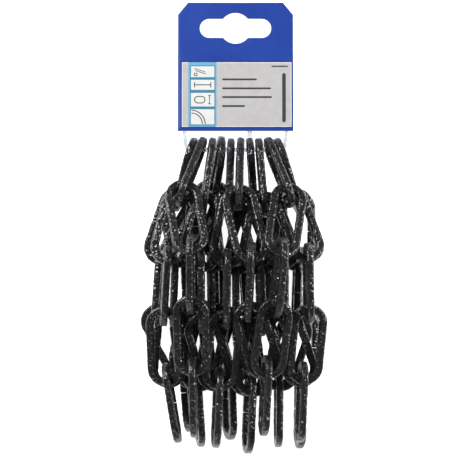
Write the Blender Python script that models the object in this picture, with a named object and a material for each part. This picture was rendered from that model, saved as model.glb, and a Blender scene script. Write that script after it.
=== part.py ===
"""A hank of decorative chain on its header card.

About 2.3 m of square-wire oval chain hangs in folds on a plastic loop under a punched card.
The hank lies on its back on a level floor: X is across the card, Y runs from the chain's lowest
fold to the card's top edge, and Z is up, towards whoever looks at the card's face.

Blender 4.5. Sizes are in millimetres and are turned into metres when a mesh is made.
"""

import math

import bmesh
import bpy
import numpy as np
from mathutils import Matrix, Vector

MM = 0.001

# The link: flat-sided wire bent to an oval, its ends butted in the middle of one leg.
LINK_LENGTH = 36.5
LINK_WIDTH = 16.6
WIRE_WIDE = 3.8
WIRE_THICK = 3.4
BUTT_GAP = 0.5
CROWN_STEPS = 6

# The small block that joins two links of a back fold where they touch.
WELD_SIDE = 1.3
WELD_BITE = 1.1

# The chain: how its links sit in each other, and on the loop.
SEAT_GAP = 0.3
LOOP_GAP = 0.45
CLEARANCE = 0.5
PAIR_SIDE = 2.0
PAIR_RISE = 2.75

# The hank: 20 strands on a slanted grid, in mm across (X) and up (Z). No link reaches below the floor.
GRID_ACROSS = (10.45, 4.0)
GRID_UP = (-3.9, 10.6)
GRID_LIFT = 0.8
LINKS_DOWN = 3
RING_SPACING = 4.4
RING_ROOM = 4.6
RING_LEAN = 0.92
END_DROP = 27.0
FOLD_DROP = 26.0
FLOOR = -24.5

# The plastic loop, and its strap's end, which shows below the card.
LOOP_WIRE = 1.8
LOOP_HALF_WIDTH = 22.4
LOOP_SPREAD = 1.2
LOOP_CORNER = 3.0
LOOP_RISE = 17.0
LOOP_CORNER_POINTS = 6
TAIL_WIDTH = 2.2
TAIL_THICK = 0.6
TAIL_X = 6.4
TAIL_BELOW_CARD = 2.4
TAIL_ABOVE_EDGE = 9.0

# The header card.
CARD_WIDTH = 52.0
CARD_HEIGHT = 59.0
CARD_THICK = 0.7
CARD_CHAMFER = (4.5, 5.6)
CARD_ABOVE_LOOP = 8.2
CARD_TILT = math.radians(9.0)
SLOT_WIDTH = 32.0
SLOT_HEIGHT = 8.7
SLOT_BULGE = 14.0
SLOT_BELOW_TOP = 11.9
SLOT_ARC_POINTS = 9
CUT_PAST = 2.0

HALF_WIDE = WIRE_WIDE / 2
HALF_THICK = WIRE_THICK / 2
BEND = LINK_WIDTH / 2 - HALF_WIDE
HALF_LEG = (LINK_LENGTH - LINK_WIDTH) / 2
INNER_END = HALF_LEG + BEND - HALF_WIDE
INNER_RADIUS = BEND - HALF_WIDE

# A crown touches its neighbour's with its corners, a little way up the bend.
CORNER_RISE = INNER_RADIUS - math.sqrt(INNER_RADIUS**2 - HALF_THICK**2)
SEAT = INNER_END - CORNER_RISE - SEAT_GAP / 2
PITCH = 2 * SEAT
PAIR_SEAT = INNER_END - PAIR_RISE

# How closely a link's surface is felt out when links are moved clear of each other.
EDGE_POINTS = 80

# The strands in the order in which the chain runs, as steps along the grid's two directions.
# It goes down one strand and up the next, and every second turn is on the loop.
STRANDS = [
    (2, -2), (2, -1), (1, -1), (0, -1), (-1, -1), (-2, -1), (-3, 0), (-2, 0), (-1, 0), (0, 0),
    (1, 0), (2, 0), (3, 0), (2, 1), (1, 1), (0, 1), (-1, 1), (-2, 1), (-2, 2), (-1, 2),
]

# Strands up to this one lie at the back, where the links of a fold share a node.
LAST_BACK_STRAND = 10

MATERIALS = {
    "black_paint": ((0.018, 0.018, 0.02, 1.0), 0.42, 0.0),
    "clear_plastic": ((0.85, 0.88, 0.9, 1.0), 0.2, 0.0),
    "blue_card": ((0.026, 0.065, 0.47, 1.0), 0.45, 0.0),
}


def clear_scene():
    """Removes the objects that the scene starts with."""
    for obj in list(bpy.data.objects):
        bpy.data.objects.remove(obj, do_unlink=True)


def material(name):
    """The material of that name, a plain Principled BSDF."""
    if name in bpy.data.materials:
        return bpy.data.materials[name]
    colour, roughness, metallic = MATERIALS[name]
    made = bpy.data.materials.new(name)
    made.use_nodes = True
    shader = made.node_tree.nodes["Principled BSDF"]
    shader.inputs["Base Color"].default_value = colour
    shader.inputs["Roughness"].default_value = roughness
    shader.inputs["Metallic"].default_value = metallic
    made.diffuse_color = colour
    return made


def add_object(name, bm, finish):
    """Makes an object of a bmesh that is in millimetres."""
    bmesh.ops.scale(bm, vec=(MM, MM, MM), verts=bm.verts)
    bmesh.ops.recalc_face_normals(bm, faces=bm.faces)
    mesh = bpy.data.meshes.new(name)
    bm.to_mesh(mesh)
    bm.free()
    mesh.materials.append(material(finish))
    obj = bpy.data.objects.new(name, mesh)
    bpy.context.scene.collection.objects.link(obj)
    return obj


# Places and turns of links


def link_axes(along, roll):
    """Columns across, along and through the link. With no roll its flat face looks up, along Z."""
    along = np.asarray(along, float) / np.linalg.norm(along)
    through = np.array([0.0, 0.0, 1.0]) - along * along[2]
    through /= np.linalg.norm(through)
    through = math.cos(roll) * through + math.sin(roll) * np.cross(along, through)
    return np.column_stack([np.cross(along, through), along, through])


def turn_matrices(turns):
    """The rotation matrix of each row of turns, an axis times its angle."""
    angle = np.linalg.norm(turns, axis=1)
    x, y, z = (turns / np.maximum(angle, 1e-12)[:, None]).T
    zero = np.zeros(len(turns))
    cross = np.array([[zero, -z, y], [z, zero, -x], [-y, x, zero]]).transpose(2, 0, 1)
    sine, cosine = np.sin(angle)[:, None, None], np.cos(angle)[:, None, None]
    return np.eye(3) + sine * cross + (1 - cosine) * (cross @ cross)


def oval_points(count):
    """Evenly spaced points (across, along) on the middle line of the wire, and its outward directions."""
    arc = math.pi * BEND
    leg = 2 * HALF_LEG
    run = (np.arange(count) + 0.5) / count * 2 * (leg + arc)
    lower = run >= leg + arc
    run = np.where(lower, run - leg - arc, run)
    angle = np.clip((run - leg) / BEND, 0, math.pi)
    out = np.column_stack([np.cos(angle), np.sin(angle)])
    rise = np.minimum(run, leg) - HALF_LEG
    points = BEND * out + np.column_stack([np.zeros(count), rise])
    flip = np.where(lower, -1.0, 1.0)[:, None]
    return points * flip, out * flip


def wire_edges(share):
    """Points on the four long edges of a link's wire, for a wire of this share of its full size."""
    points, out = oval_points(EDGE_POINTS)
    edges = []
    for wide in (-HALF_WIDE, HALF_WIDE):
        for thick in (-HALF_THICK, HALF_THICK):
            level = np.full((len(points), 1), thick * share)
            edges.append(np.hstack([points + out * wide * share, level]))
    return np.stack(edges, 1)


def wire_distance(points, share):
    """How far each point, in a link's own axes, is from the surface of its wire, and the way out."""
    across, along, through = points[..., 0], points[..., 1], points[..., 2]
    past = along - np.clip(along, -HALF_LEG, HALF_LEG)
    radius = np.hypot(across, past) + 1e-9
    side = np.abs(radius - BEND) - HALF_WIDE * share
    face = np.abs(through) - HALF_THICK * share
    far_side, far_face = np.maximum(side, 0), np.maximum(face, 0)
    outside = np.hypot(far_side, far_face)
    distance = outside + np.minimum(np.maximum(side, face), 0)
    inside = outside == 0
    side_part = np.where(inside, side >= face, far_side / np.maximum(outside, 1e-9))
    face_part = np.where(inside, side < face, far_face / np.maximum(outside, 1e-9))
    side_part = side_part * np.sign(radius - BEND) / radius
    way = np.stack([side_part * across, side_part * past, face_part * np.sign(through)], -1)
    return distance, way


class Chain:
    """Every link's centre and axes, and which links sit in each other."""

    # A link gives way as a body does whose mass is 1 and whose turning mass about its axes is this.
    TURN_EASE = np.array([100.0, 30.0, 115.0])
    BLOCKS = 10
    MOST_STEP = 0.8
    MOST_TURN = 0.06
    REACH = LINK_WIDTH + 3

    # The share of what is wrong that one round puts right.
    SEAT_FIRMNESS = 0.4
    SEAT_LAST_FIRMNESS = 0.08
    RING_FIRMNESS = 0.6
    LIFT_FIRMNESS = 0.5
    RING_HOLD = (0.3, 1.0, 1.0)

    # A push whose ways cancel out is left to a later round, and many pushes at once are damped.
    LEAST_WAY = 0.15
    PUSH = 1.3
    PUSH_CROWDED = 0.7

    # The share of the rounds after which the wire is full, and in which the seats soften.
    FULL_AT = 0.35
    SOFTEN_FROM = 0.7
    SOFTEN_OVER = 0.25
    PAIR_ROUNDS = 4

    def __init__(self):
        self.centres = []
        self.axes = []
        self.names = []
        self.seats = []
        self.hooks = []

    def add(self, name, top, bottom, roll):
        """A link whose ends sit at two points. Returns its number."""
        self.centres.append((top + bottom) / 2)
        self.axes.append(link_axes(top - bottom, roll))
        self.names.append(name)
        return len(self.names) - 1

    def seat(self, first, spot_first, second, spot_second):
        """Says that two links meet, each at a spot given in its own axes."""
        self.seats.append((first, spot_first, second, spot_second))

    def freeze(self):
        """Turns the lists into arrays, and the seats into groups in which no link is named twice."""
        self.centres = np.array(self.centres)
        self.axes = np.array(self.axes)
        waiting, self.groups = list(self.seats), []
        while waiting:
            used, group, later = set(), [], []
            for seat in waiting:
                free = seat[0] not in used and seat[2] not in used
                (group if free else later).append(seat)
                if free:
                    used |= {seat[0], seat[2]}
            self.groups.append([np.array(column) for column in zip(*group)])
            waiting = later

    def give(self, numbers, arms, ways):
        """How easily each link gives when it is pushed at an arm from its centre, and how it turns."""
        axes = self.axes[numbers]
        twist = np.einsum("mji,mj->mi", axes, np.cross(arms, ways))
        eased = twist / self.TURN_EASE
        return 1 + (eased * twist).sum(-1), np.einsum("mij,mj->mi", axes, eased)

    def turn(self, numbers, turns):
        """Turns links about their centres, by a limited angle."""
        size = np.linalg.norm(turns, axis=-1, keepdims=True)
        turns = turns * np.minimum(1, self.MOST_TURN / np.maximum(size, 1e-9))
        self.axes[numbers] = turn_matrices(turns) @ self.axes[numbers]

    def close_seats(self, firmness):
        """Brings the two spots of each seat nearer to each other."""
        for first, spot_first, second, spot_second in self.groups:
            arm_first = np.einsum("mij,mj->mi", self.axes[first], spot_first)
            arm_second = np.einsum("mij,mj->mi", self.axes[second], spot_second)
            gap = self.centres[second] + arm_second - self.centres[first] - arm_first
            size = np.linalg.norm(gap, axis=-1)
            way = gap / np.maximum(size, 1e-9)[:, None]
            give_first, turn_first = self.give(first, arm_first, way)
            give_second, turn_second = self.give(second, arm_second, way)
            share = (firmness * size / (give_first + give_second))[:, None]
            self.centres[first] += share * way
            self.centres[second] -= share * way
            self.turn(first, share * turn_first)
            self.turn(second, -share * turn_second)

    def hang_rings(self):
        """Keeps the ring links on the loop, free to slide and rock a little."""
        numbers, spots, places = (np.array(column) for column in zip(*self.hooks))
        arms = np.einsum("mij,mj->mi", self.axes[numbers], spots)
        gap = (places - self.centres[numbers] - arms) * self.RING_HOLD
        size = np.linalg.norm(gap, axis=1)
        way = gap / np.maximum(size, 1e-9)[:, None]
        give, turned = self.give(numbers, arms, way)
        share = (self.RING_FIRMNESS * size / give)[:, None]
        self.centres[numbers] += share * way
        self.turn(numbers, share * turned)

    def lift(self, level):
        """Raises and turns links that reach below a level."""
        edges = wire_edges(1.0).reshape(-1, 3)
        heights = np.einsum("pi,mi->mp", edges, self.axes[:, 2]) + self.centres[:, 2:]
        lowest = heights.argmin(1)
        short = level - heights.min(1)
        numbers = np.nonzero(short > 0)[0]
        if not len(numbers):
            return
        arms = np.einsum("mij,mj->mi", self.axes[numbers], edges[lowest[numbers]])
        way = np.tile([0.0, 0.0, 1.0], (len(numbers), 1))
        give, turned = self.give(numbers, arms, way)
        share = (self.LIFT_FIRMNESS * short[numbers] / give)[:, None]
        self.centres[numbers] += share * way
        self.turn(numbers, share * turned)

    def near_pairs(self):
        """Pairs of links, both ways round, whose middle lines come within reach of each other."""
        first, second = np.triu_indices(len(self.centres), 1)
        along = self.axes[:, :, 1]
        apart = self.centres[first] - self.centres[second]
        same = (along[first] * along[second]).sum(-1)
        on_first, on_second = (along[first] * apart).sum(-1), (along[second] * apart).sum(-1)
        here = np.clip((same * on_second - on_first) / np.maximum(1 - same**2, 1e-6), -HALF_LEG, HALF_LEG)
        there = np.clip(same * here + on_second, -HALF_LEG, HALF_LEG)
        here = np.clip(same * there - on_first, -HALF_LEG, HALF_LEG)
        apart += here[:, None] * along[first] - there[:, None] * along[second]
        near = np.linalg.norm(apart, axis=-1) < self.REACH
        first, second = first[near], second[near]
        return np.concatenate([first, second]), np.concatenate([second, first])

    def part_links(self, first, second, share):
        """Moves links apart where an edge of the first comes nearer to the second than the clearance."""
        edges = wire_edges(share)
        blocks = edges.reshape(self.BLOCKS, -1, 3)
        middles = blocks.mean(1)
        reach = np.linalg.norm(blocks - middles[:, None], axis=-1).max() + CLEARANCE
        turned = np.einsum("mji,mjk->mik", self.axes[second], self.axes[first])
        moved = np.einsum("mji,mj->mi", self.axes[second], self.centres[first] - self.centres[second])
        rough, _ = wire_distance(np.einsum("mij,pj->mpi", turned, middles) + moved[:, None], share)
        pair, block = np.nonzero(rough < reach)
        points = np.einsum("mij,mpj->mpi", turned[pair], blocks[block]) + moved[pair][:, None]
        distance, way = wire_distance(points, share)
        short = np.maximum(0, CLEARANCE - distance)
        close = short.max(-1) > 1e-4
        if not close.any():
            return
        first, second, short = first[pair][close], second[pair][close], short[close]
        weight = (short / short.sum(-1, keepdims=True))[..., None]
        way = np.einsum("mij,mj->mi", self.axes[second], (weight * way[close]).sum(1))
        spot = np.einsum("mij,mj->mi", self.axes[second], (weight * points[close]).sum(1))
        spot += self.centres[second]
        size = np.linalg.norm(way, axis=-1)
        clear = size > self.LEAST_WAY
        first, second, spot, short = first[clear], second[clear], spot[clear], short[clear]
        way = way[clear] / size[clear][:, None]
        give_first, turn_first = self.give(first, spot - self.centres[first], way)
        give_second, turn_second = self.give(second, spot - self.centres[second], way)
        push = (short.max(-1) / (give_first + give_second))[:, None]
        move, turns = np.zeros_like(self.centres), np.zeros_like(self.centres)
        hits = np.zeros(len(self.centres))
        for numbers, sign, turning in ((first, 1, turn_first), (second, -1, turn_second)):
            np.add.at(move, numbers, sign * push * way)
            np.add.at(turns, numbers, sign * push * turning)
            np.add.at(hits, numbers, 1)
        damp = (self.PUSH / np.maximum(hits, 1) ** self.PUSH_CROWDED)[:, None]
        move *= damp
        length = np.linalg.norm(move, axis=-1, keepdims=True)
        self.centres += move * np.minimum(1, self.MOST_STEP / np.maximum(length, 1e-9))
        self.turn(np.arange(len(self.centres)), turns * damp)

    def space_out(self, rounds=640, thin=0.4):
        """Seats every link in its neighbours and clears it from all others.

        The wire starts thin, where the links are clear of each other, and grows to its full size.
        """
        for count in range(rounds):
            done = count / rounds
            if count % self.PAIR_ROUNDS == 0:
                first, second = self.near_pairs()
            softer = 1 - (done - self.SOFTEN_FROM) / self.SOFTEN_OVER
            self.close_seats(self.SEAT_FIRMNESS * min(1, max(self.SEAT_LAST_FIRMNESS, softer)))
            share = min(1, thin + (1 - thin) * done / self.FULL_AT)
            for _ in range(2):
                self.part_links(first, second, share)
            self.lift(FLOOR)
            self.hang_rings()


def spread(values, room):
    """Moves values apart until neighbours are at least this far from each other."""
    order = np.argsort(values)
    values = values.copy()
    for _ in range(200):
        for low, high in zip(order, order[1:]):
            lack = room - (values[high] - values[low])
            if lack > 0:
                values[low] -= lack / 4
                values[high] += lack / 4
    return values


def below(point, x, z, length):
    """The point at x and z that hangs this length below another."""
    fall = math.sqrt(length**2 - (x - point[0]) ** 2 - (z - point[2]) ** 2)
    return np.array([x, point[1] - fall, z])


def side_by_side(places, one, other):
    """Which side of its partner a strand is on, up or down: 1 or -1."""
    return 1 if places[one][1] > places[other][1] else -1


def hang_point(lean):
    """How far from a ring link's centre the bar runs, for a ring that leans sideways by this angle."""
    return INNER_END - (LOOP_WIRE / 2 + LOOP_GAP) / math.cos(lean) - HALF_THICK * math.tan(lean)


def lay_chain():
    """The whole chain, folded on the loop, whose bar is at Y 0 and Z 0."""
    grid = np.array([GRID_ACROSS, GRID_UP])
    places = np.array(STRANDS) @ grid + (0, GRID_LIFT)
    count = len(places)
    middles = (places[0::2] + places[1::2]) / 2
    on_loop = np.empty(len(middles))
    on_loop[np.argsort(middles[:, 0])] = (np.arange(len(middles)) - (len(middles) - 1) / 2) * RING_SPACING
    lower_x = RING_LEAN * spread(middles[:, 0], RING_ROOM)
    chain = Chain()
    edge_on, up, down = math.pi / 2, np.array([0, SEAT, 0]), np.array([0, -SEAT, 0])
    pair = np.array([PAIR_SIDE, PAIR_SEAT, 0])

    rings = []
    for number, middle in enumerate(middles):
        top = np.array([on_loop[number], 0, 0])
        lean = math.asin(abs(lower_x[number] - on_loop[number]) / (2 * PAIR_SEAT))
        hang = hang_point(lean)
        rings.append((top, below(top, lower_x[number], middle[1], hang + PAIR_SEAT), hang))

    routes = []
    for number, place in enumerate(places):
        start = rings[number // 2][1] + (0, 0, PAIR_SIDE * side_by_side(places, number, number ^ 1))
        second = below(start, *place, PITCH)
        third = second + (0, -PITCH, 0)
        partner = number + 1 if number % 2 else number - 1
        target = place
        if 0 <= partner < count:
            target = (place + places[partner]) / 2
            target = target + (0, PAIR_SIDE * side_by_side(places, number, partner))
        routes.append([start, second, third, below(third, *target, PITCH)])
    for number in range(1, count - 1, 2):
        level = (routes[number][3][1] + routes[number + 1][3][1]) / 2
        routes[number][3][1] = routes[number + 1][3][1] = level

    hanging = []
    for number, route in enumerate(routes):
        hanging.append([
            chain.add(f"link_{number + 1:02d}_{row + 2}", route[row], route[row + 1], edge_on * (row % 2))
            for row in range(LINKS_DOWN)
        ])
    for number, (top, low, hang) in enumerate(rings):
        ring = chain.add(f"ring_link_{number + 1:02d}", top, low, edge_on)
        chain.hooks.append((ring, np.array([0, hang, 0]), top))
        facing = 1 if chain.axes[ring][2, 0] > 0 else -1
        for strand in (2 * number, 2 * number + 1):
            side = facing * side_by_side(places, strand, strand ^ 1)
            chain.seat(ring, pair * (side, -1, 1), hanging[strand][0], up)
    for strand in hanging:
        chain.seat(strand[0], down, strand[1], up)
        chain.seat(strand[1], down, strand[2], up)
    for number, strand in ((0, hanging[0]), (count - 1, hanging[-1])):
        point = routes[number][3]
        end = chain.add(f"end_link_{number + 1:02d}", point, point - (0, END_DROP, 0), edge_on)
        chain.seat(strand[2], down, end, up)
    for number in range(1, count - 1, 2):
        point = (routes[number][3] + routes[number + 1][3]) / 2
        fold = chain.add(f"fold_link_{number + 1:02d}", point, point - (0, FOLD_DROP, 0), edge_on)
        facing = 1 if chain.axes[fold][2, 0] > 0 else -1
        for strand, partner in ((number, number + 1), (number + 1, number)):
            side = facing * side_by_side(places, strand, partner)
            chain.seat(fold, pair * (side, 1, 1), hanging[strand][2], down)
    chain.freeze()
    chain.space_out()
    return chain


# The links as meshes


def wire_path(butt_side):
    """Stations along the wire from one butted end to the other: its inner and outer corners.

    Each is a point (across, along). Inside the bends the corners lie outside their arc, so that the
    flats between them touch it and the wire nowhere passes its true size.
    """
    angles = np.linspace(0, math.pi, CROWN_STEPS + 1)
    crown = np.column_stack([np.cos(angles), np.sin(angles)])
    inside = np.full((CROWN_STEPS + 1, 1), INNER_RADIUS / math.cos(math.pi / 2 / CROWN_STEPS))
    inside[[0, -1]] = INNER_RADIUS
    sides = []
    for radius in (inside, INNER_RADIUS + WIRE_WIDE):
        upper = crown * radius + (0, HALF_LEG)
        end = np.array([[upper[0, 0], BUTT_GAP / 2]])
        sides.append(np.vstack([end, upper, -upper, end * (1, -1)]) * (butt_side, 1))
    return sides


def link_mesh(centre, axes, butt_side):
    """A bmesh of one link, in millimetres."""
    bm = bmesh.new()
    loops = []
    for inner, outer in zip(*wire_path(butt_side)):
        section = ((inner, -1), (outer, -1), (outer, 1), (inner, 1))
        corners = [(*point, side * HALF_THICK) for point, side in section]
        loops.append([bm.verts.new(centre + axes @ corner) for corner in corners])
    for here, there in zip(loops, loops[1:]):
        for k in range(4):
            bm.faces.new((here[k], here[(k + 1) % 4], there[(k + 1) % 4], there[k]))
    bm.faces.new(loops[0])
    bm.faces.new(loops[-1])
    return bm


def butt_side(number):
    """Which leg of a link is butted, 1 or -1, mixed along the chain as it is when it is wound."""
    return 1 if (number * 5) % 7 < 4 else -1


def add_link(chain, number, name=None):
    """One link as an object."""
    bm = link_mesh(chain.centres[number], chain.axes[number], butt_side(number))
    return add_object(name or chain.names[number], bm, "black_paint")


def add_weld(chain, first, second):
    """A small block across the gap where two links sit nearest to each other."""
    points = wire_edges(1.0).reshape(-1, 3) @ chain.axes[first].T + chain.centres[first]
    local = (points - chain.centres[second]) @ chain.axes[second]
    distance, way = wire_distance(local, 1.0)
    nearest = distance.argmin()
    way = chain.axes[second] @ way[nearest]
    middle = points[nearest] - way * distance[nearest] / 2
    bm = bmesh.new()
    bmesh.ops.create_cube(bm, size=1.0)
    length = distance[nearest] + 2 * WELD_BITE
    bmesh.ops.scale(bm, vec=(WELD_SIDE, WELD_SIDE, length), verts=bm.verts)
    turn = Vector((0, 0, 1)).rotation_difference(Vector(way)).to_matrix().to_4x4()
    bmesh.ops.transform(bm, matrix=Matrix.Translation(middle) @ turn, verts=bm.verts)
    weld = add_object(f"weld_{first}_{second}", bm, "black_paint")
    weld.hide_render = True
    weld.display_type = "WIRE"
    return weld


def add_fold(chain, name, numbers):
    """Several links of one fold as one solid, joined by a weld at each seat."""
    whole = add_link(chain, numbers[0], name)
    for first, second in zip(numbers, numbers[1:]):
        weld = add_weld(chain, first, second)
        link = add_link(chain, second, f"{name}_part_{second}")
        link.hide_render = True
        link.display_type = "WIRE"
        for piece in (weld, link):
            join = whole.modifiers.new(piece.name, "BOOLEAN")
            join.operation = "UNION"
            join.solver = "EXACT"
            join.object = piece
    return whole


def add_chain(chain):
    """Front links, rings and front folds one by one, and the back strands as joined folds."""
    numbers = {name: number for number, name in enumerate(chain.names)}
    strand = {}
    for k in range(1, len(STRANDS) + 1):
        strand[k] = [numbers[f"link_{k:02d}_{row + 2}"] for row in range(LINKS_DOWN)]
    joined = {"back_fold_01": strand[1] + [numbers["end_link_01"]]}
    for k in range(2, LAST_BACK_STRAND, 2):
        fold = numbers[f"fold_link_{k:02d}"]
        joined[f"back_fold_{k:02d}"] = strand[k] + [fold] + strand[k + 1][::-1]
    joined[f"back_fold_{LAST_BACK_STRAND:02d}"] = strand[LAST_BACK_STRAND]
    for name, members in joined.items():
        add_fold(chain, name, members)
    in_folds = set().union(*joined.values())
    for number in range(len(chain.names)):
        if number not in in_folds:
            add_link(chain, number)


# The loop and the card


def loop_route():
    """The loop's middle line, from its left end behind the card, round two corners, to its right end."""
    right = [(LOOP_HALF_WIDTH + LOOP_SPREAD, LOOP_RISE)]
    for angle in np.linspace(math.pi / 2, 0, LOOP_CORNER_POINTS):
        x = LOOP_HALF_WIDTH - LOOP_CORNER * (1 - math.sin(angle))
        right.append((x, LOOP_CORNER * (1 - math.cos(angle))))
    return [(-x, y) for x, y in right] + right[::-1]


def add_loop():
    """The clear plastic loop that carries the ring links."""
    curve = bpy.data.curves.new("hanger_loop", "CURVE")
    curve.dimensions = "3D"
    curve.bevel_depth = LOOP_WIRE / 2 * MM
    curve.bevel_resolution = 1
    curve.use_fill_caps = True
    spline = curve.splines.new("POLY")
    route = loop_route()
    spline.points.add(len(route) - 1)
    for point, (x, y) in zip(spline.points, route):
        point.co = (x * MM, y * MM, 0, 1)
    curve.materials.append(material("clear_plastic"))
    obj = bpy.data.objects.new("hanger_loop", curve)
    bpy.context.scene.collection.objects.link(obj)
    obj.matrix_world = Matrix.Rotation(-CARD_TILT, 4, "X")


def add_tail():
    """The end of the loop's strap, which lies flat on the card's back."""
    half = TAIL_WIDTH / 2
    low, high = CARD_ABOVE_LOOP - TAIL_BELOW_CARD, CARD_ABOVE_LOOP + TAIL_ABOVE_EDGE
    outline = [(TAIL_X - half, low), (TAIL_X + half, low), (TAIL_X + half, high), (TAIL_X - half, high)]
    card_back = LOOP_WIRE / 2 + SEAT_GAP
    strap = extruded(outline, card_back - SEAT_GAP - TAIL_THICK, card_back - SEAT_GAP)
    obj = add_object("loop_tail", strap, "clear_plastic")
    obj.matrix_world = Matrix.Rotation(-CARD_TILT, 4, "X")


def card_outline():
    """The card's outline, with its two upper corners cut off, from its lower left corner."""
    half = CARD_WIDTH / 2
    cut_x, cut_y = CARD_CHAMFER
    return [
        (-half, 0), (half, 0), (half, CARD_HEIGHT - cut_y), (half - cut_x, CARD_HEIGHT),
        (cut_x - half, CARD_HEIGHT), (-half, CARD_HEIGHT - cut_y),
    ]


def slot_outline():
    """The hanging slot: a bar with round ends and a round bulge in its middle."""
    radius = SLOT_HEIGHT / 2
    centre_x = SLOT_WIDTH / 2 - radius
    meet = math.asin(radius / (SLOT_BULGE / 2))
    points = []
    for angle in np.linspace(-math.pi / 2, math.pi / 2, SLOT_ARC_POINTS):
        points.append((centre_x + radius * math.cos(angle), radius * math.sin(angle)))
    for angle in np.linspace(meet, math.pi - meet, SLOT_ARC_POINTS):
        points.append((SLOT_BULGE / 2 * math.cos(angle), SLOT_BULGE / 2 * math.sin(angle)))
    points += [(-x, -y) for x, y in points]
    return points


def extruded(outline, low, high):
    """A bmesh prism of an outline in X and Y between two levels."""
    bm = bmesh.new()
    face = bm.faces.new([bm.verts.new((x, y, low)) for x, y in outline])
    made = bmesh.ops.extrude_face_region(bm, geom=[face])
    raised = [item for item in made["geom"] if isinstance(item, bmesh.types.BMVert)]
    bmesh.ops.translate(bm, vec=(0, 0, high - low), verts=raised)
    return bm


def add_card():
    """The header card with its slot, as one flat piece that lies on the loop's ends."""
    card = add_object("header_card", extruded(card_outline(), 0, CARD_THICK), "blue_card")
    slot = extruded(slot_outline(), -CUT_PAST, CARD_THICK + CUT_PAST)
    bmesh.ops.translate(slot, vec=(0, CARD_HEIGHT - SLOT_BELOW_TOP, 0), verts=slot.verts)
    cutter = add_object("slot_cutter", slot, "blue_card")
    cutter.hide_render = True
    cutter.display_type = "WIRE"
    cut = card.modifiers.new("slot", "BOOLEAN")
    cut.operation = "DIFFERENCE"
    cut.solver = "EXACT"
    cut.object = cutter
    lower_edge = Matrix.Translation((0, CARD_ABOVE_LOOP * MM, (LOOP_WIRE / 2 + SEAT_GAP) * MM))
    for obj in (card, cutter):
        obj.matrix_world = Matrix.Rotation(-CARD_TILT, 4, "X") @ lower_edge


def set_down():
    """Moves everything so that the origin is on the floor, under the middle of the hank's box."""
    bpy.context.view_layer.update()
    graph = bpy.context.evaluated_depsgraph_get()
    pieces = [obj for obj in bpy.context.scene.objects if not obj.hide_render]
    corners = []
    for obj in pieces:
        shape = obj.evaluated_get(graph)
        mesh = shape.to_mesh()
        places = np.empty(len(mesh.vertices) * 3)
        mesh.vertices.foreach_get("co", places)
        turned = places.reshape(-1, 3) @ np.array(obj.matrix_world.to_3x3()).T + obj.matrix_world.translation
        corners += [turned.min(0), turned.max(0)]
        shape.to_mesh_clear()
    low, high = np.min(corners, 0), np.max(corners, 0)
    shift = Matrix.Translation((-(low[0] + high[0]) / 2, -(low[1] + high[1]) / 2, -low[2]))
    for obj in bpy.context.scene.objects:
        obj.matrix_world = shift @ obj.matrix_world


def main():
    """Builds the hank and sets it on the floor, with the origin under the middle of its box."""
    clear_scene()
    add_chain(lay_chain())
    add_loop()
    add_tail()
    add_card()
    set_down()


if __name__ == "__main__":
    main()
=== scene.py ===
"""Looks of a hank of hammered black chain, hung in folds on a clear loop under a header card.

The links' places, the card's plane and the loop's box are read from the fixed frame, so every
fine surface lies where its plain solid does. Each surface is a function of two parameters, worked
out as whole arrays: a section carried along a path, or an outline lofted through a profile.

Sizes are in millimetres until a mesh is made. X is across the card, Y runs up to the card's top
edge, and Z points at whoever looks at the card's face.
"""

import logging
import math
from dataclasses import dataclass, field
from enum import Enum, IntEnum

import bpy
import numpy as np
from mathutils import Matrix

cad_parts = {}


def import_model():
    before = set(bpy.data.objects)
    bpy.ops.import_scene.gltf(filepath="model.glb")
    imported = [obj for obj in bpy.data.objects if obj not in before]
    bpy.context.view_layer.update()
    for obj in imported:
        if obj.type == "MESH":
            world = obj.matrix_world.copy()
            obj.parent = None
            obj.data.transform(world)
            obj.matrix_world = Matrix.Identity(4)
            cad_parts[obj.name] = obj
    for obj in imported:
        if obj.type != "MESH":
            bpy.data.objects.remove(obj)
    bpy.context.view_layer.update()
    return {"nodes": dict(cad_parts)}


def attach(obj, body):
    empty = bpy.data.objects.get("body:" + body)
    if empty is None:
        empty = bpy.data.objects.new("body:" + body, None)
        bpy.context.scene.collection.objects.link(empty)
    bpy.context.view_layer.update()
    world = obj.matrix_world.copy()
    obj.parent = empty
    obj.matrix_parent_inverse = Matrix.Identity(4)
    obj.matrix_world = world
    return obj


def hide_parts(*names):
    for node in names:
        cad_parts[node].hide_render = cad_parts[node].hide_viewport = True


LOG = logging.getLogger("hank")
MM = 0.001
FULL_TURN = 2 * math.pi
TINY = 1e-9

# The number that a mesh holds for each point (on the chain a painted highlight on the wire's rims,
# and paint worn thin with a painted highlight on proud spots; on the card its pale core at the cut
# edges), the angle past which no edge is left sharp, and the share of a bevel that its first step takes
MARKS = "highlight_wear_core"
NEVER_SHARP = 180.0
EDGE_SHARE = 0.3

# How flat faces are told apart: least products of two unit vectors, millimetres, square millimetres
SAME_WAY = 0.999
NEARLY_SAME_WAY = 0.99
SAME_PLANE = 0.03
READING_SLACK = 1.0
LEAST_DOUBLE_AREA = 1e-6
LINK_FACE_AREA = 200.0
CARD_FACE_AREA = 500.0

# Between which values most of a noise lies, and how a fine grain and soft cells are made
NOISE_BAND = (0.3, 0.7)
CLOUD_BAND = (0.35, 0.65)
WHOLE = (0.0, 1.0)
FINE_DETAIL = 3.0
FINE_ROUGHNESS = 0.6
CELL_SMOOTHNESS = 0.35


class Detail(Enum):
    """How finely a link is drawn: stations along its wire, and points round its section."""

    FRONT = (204, 30)
    BACK = (132, 22)


# Shapes as arrays


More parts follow.
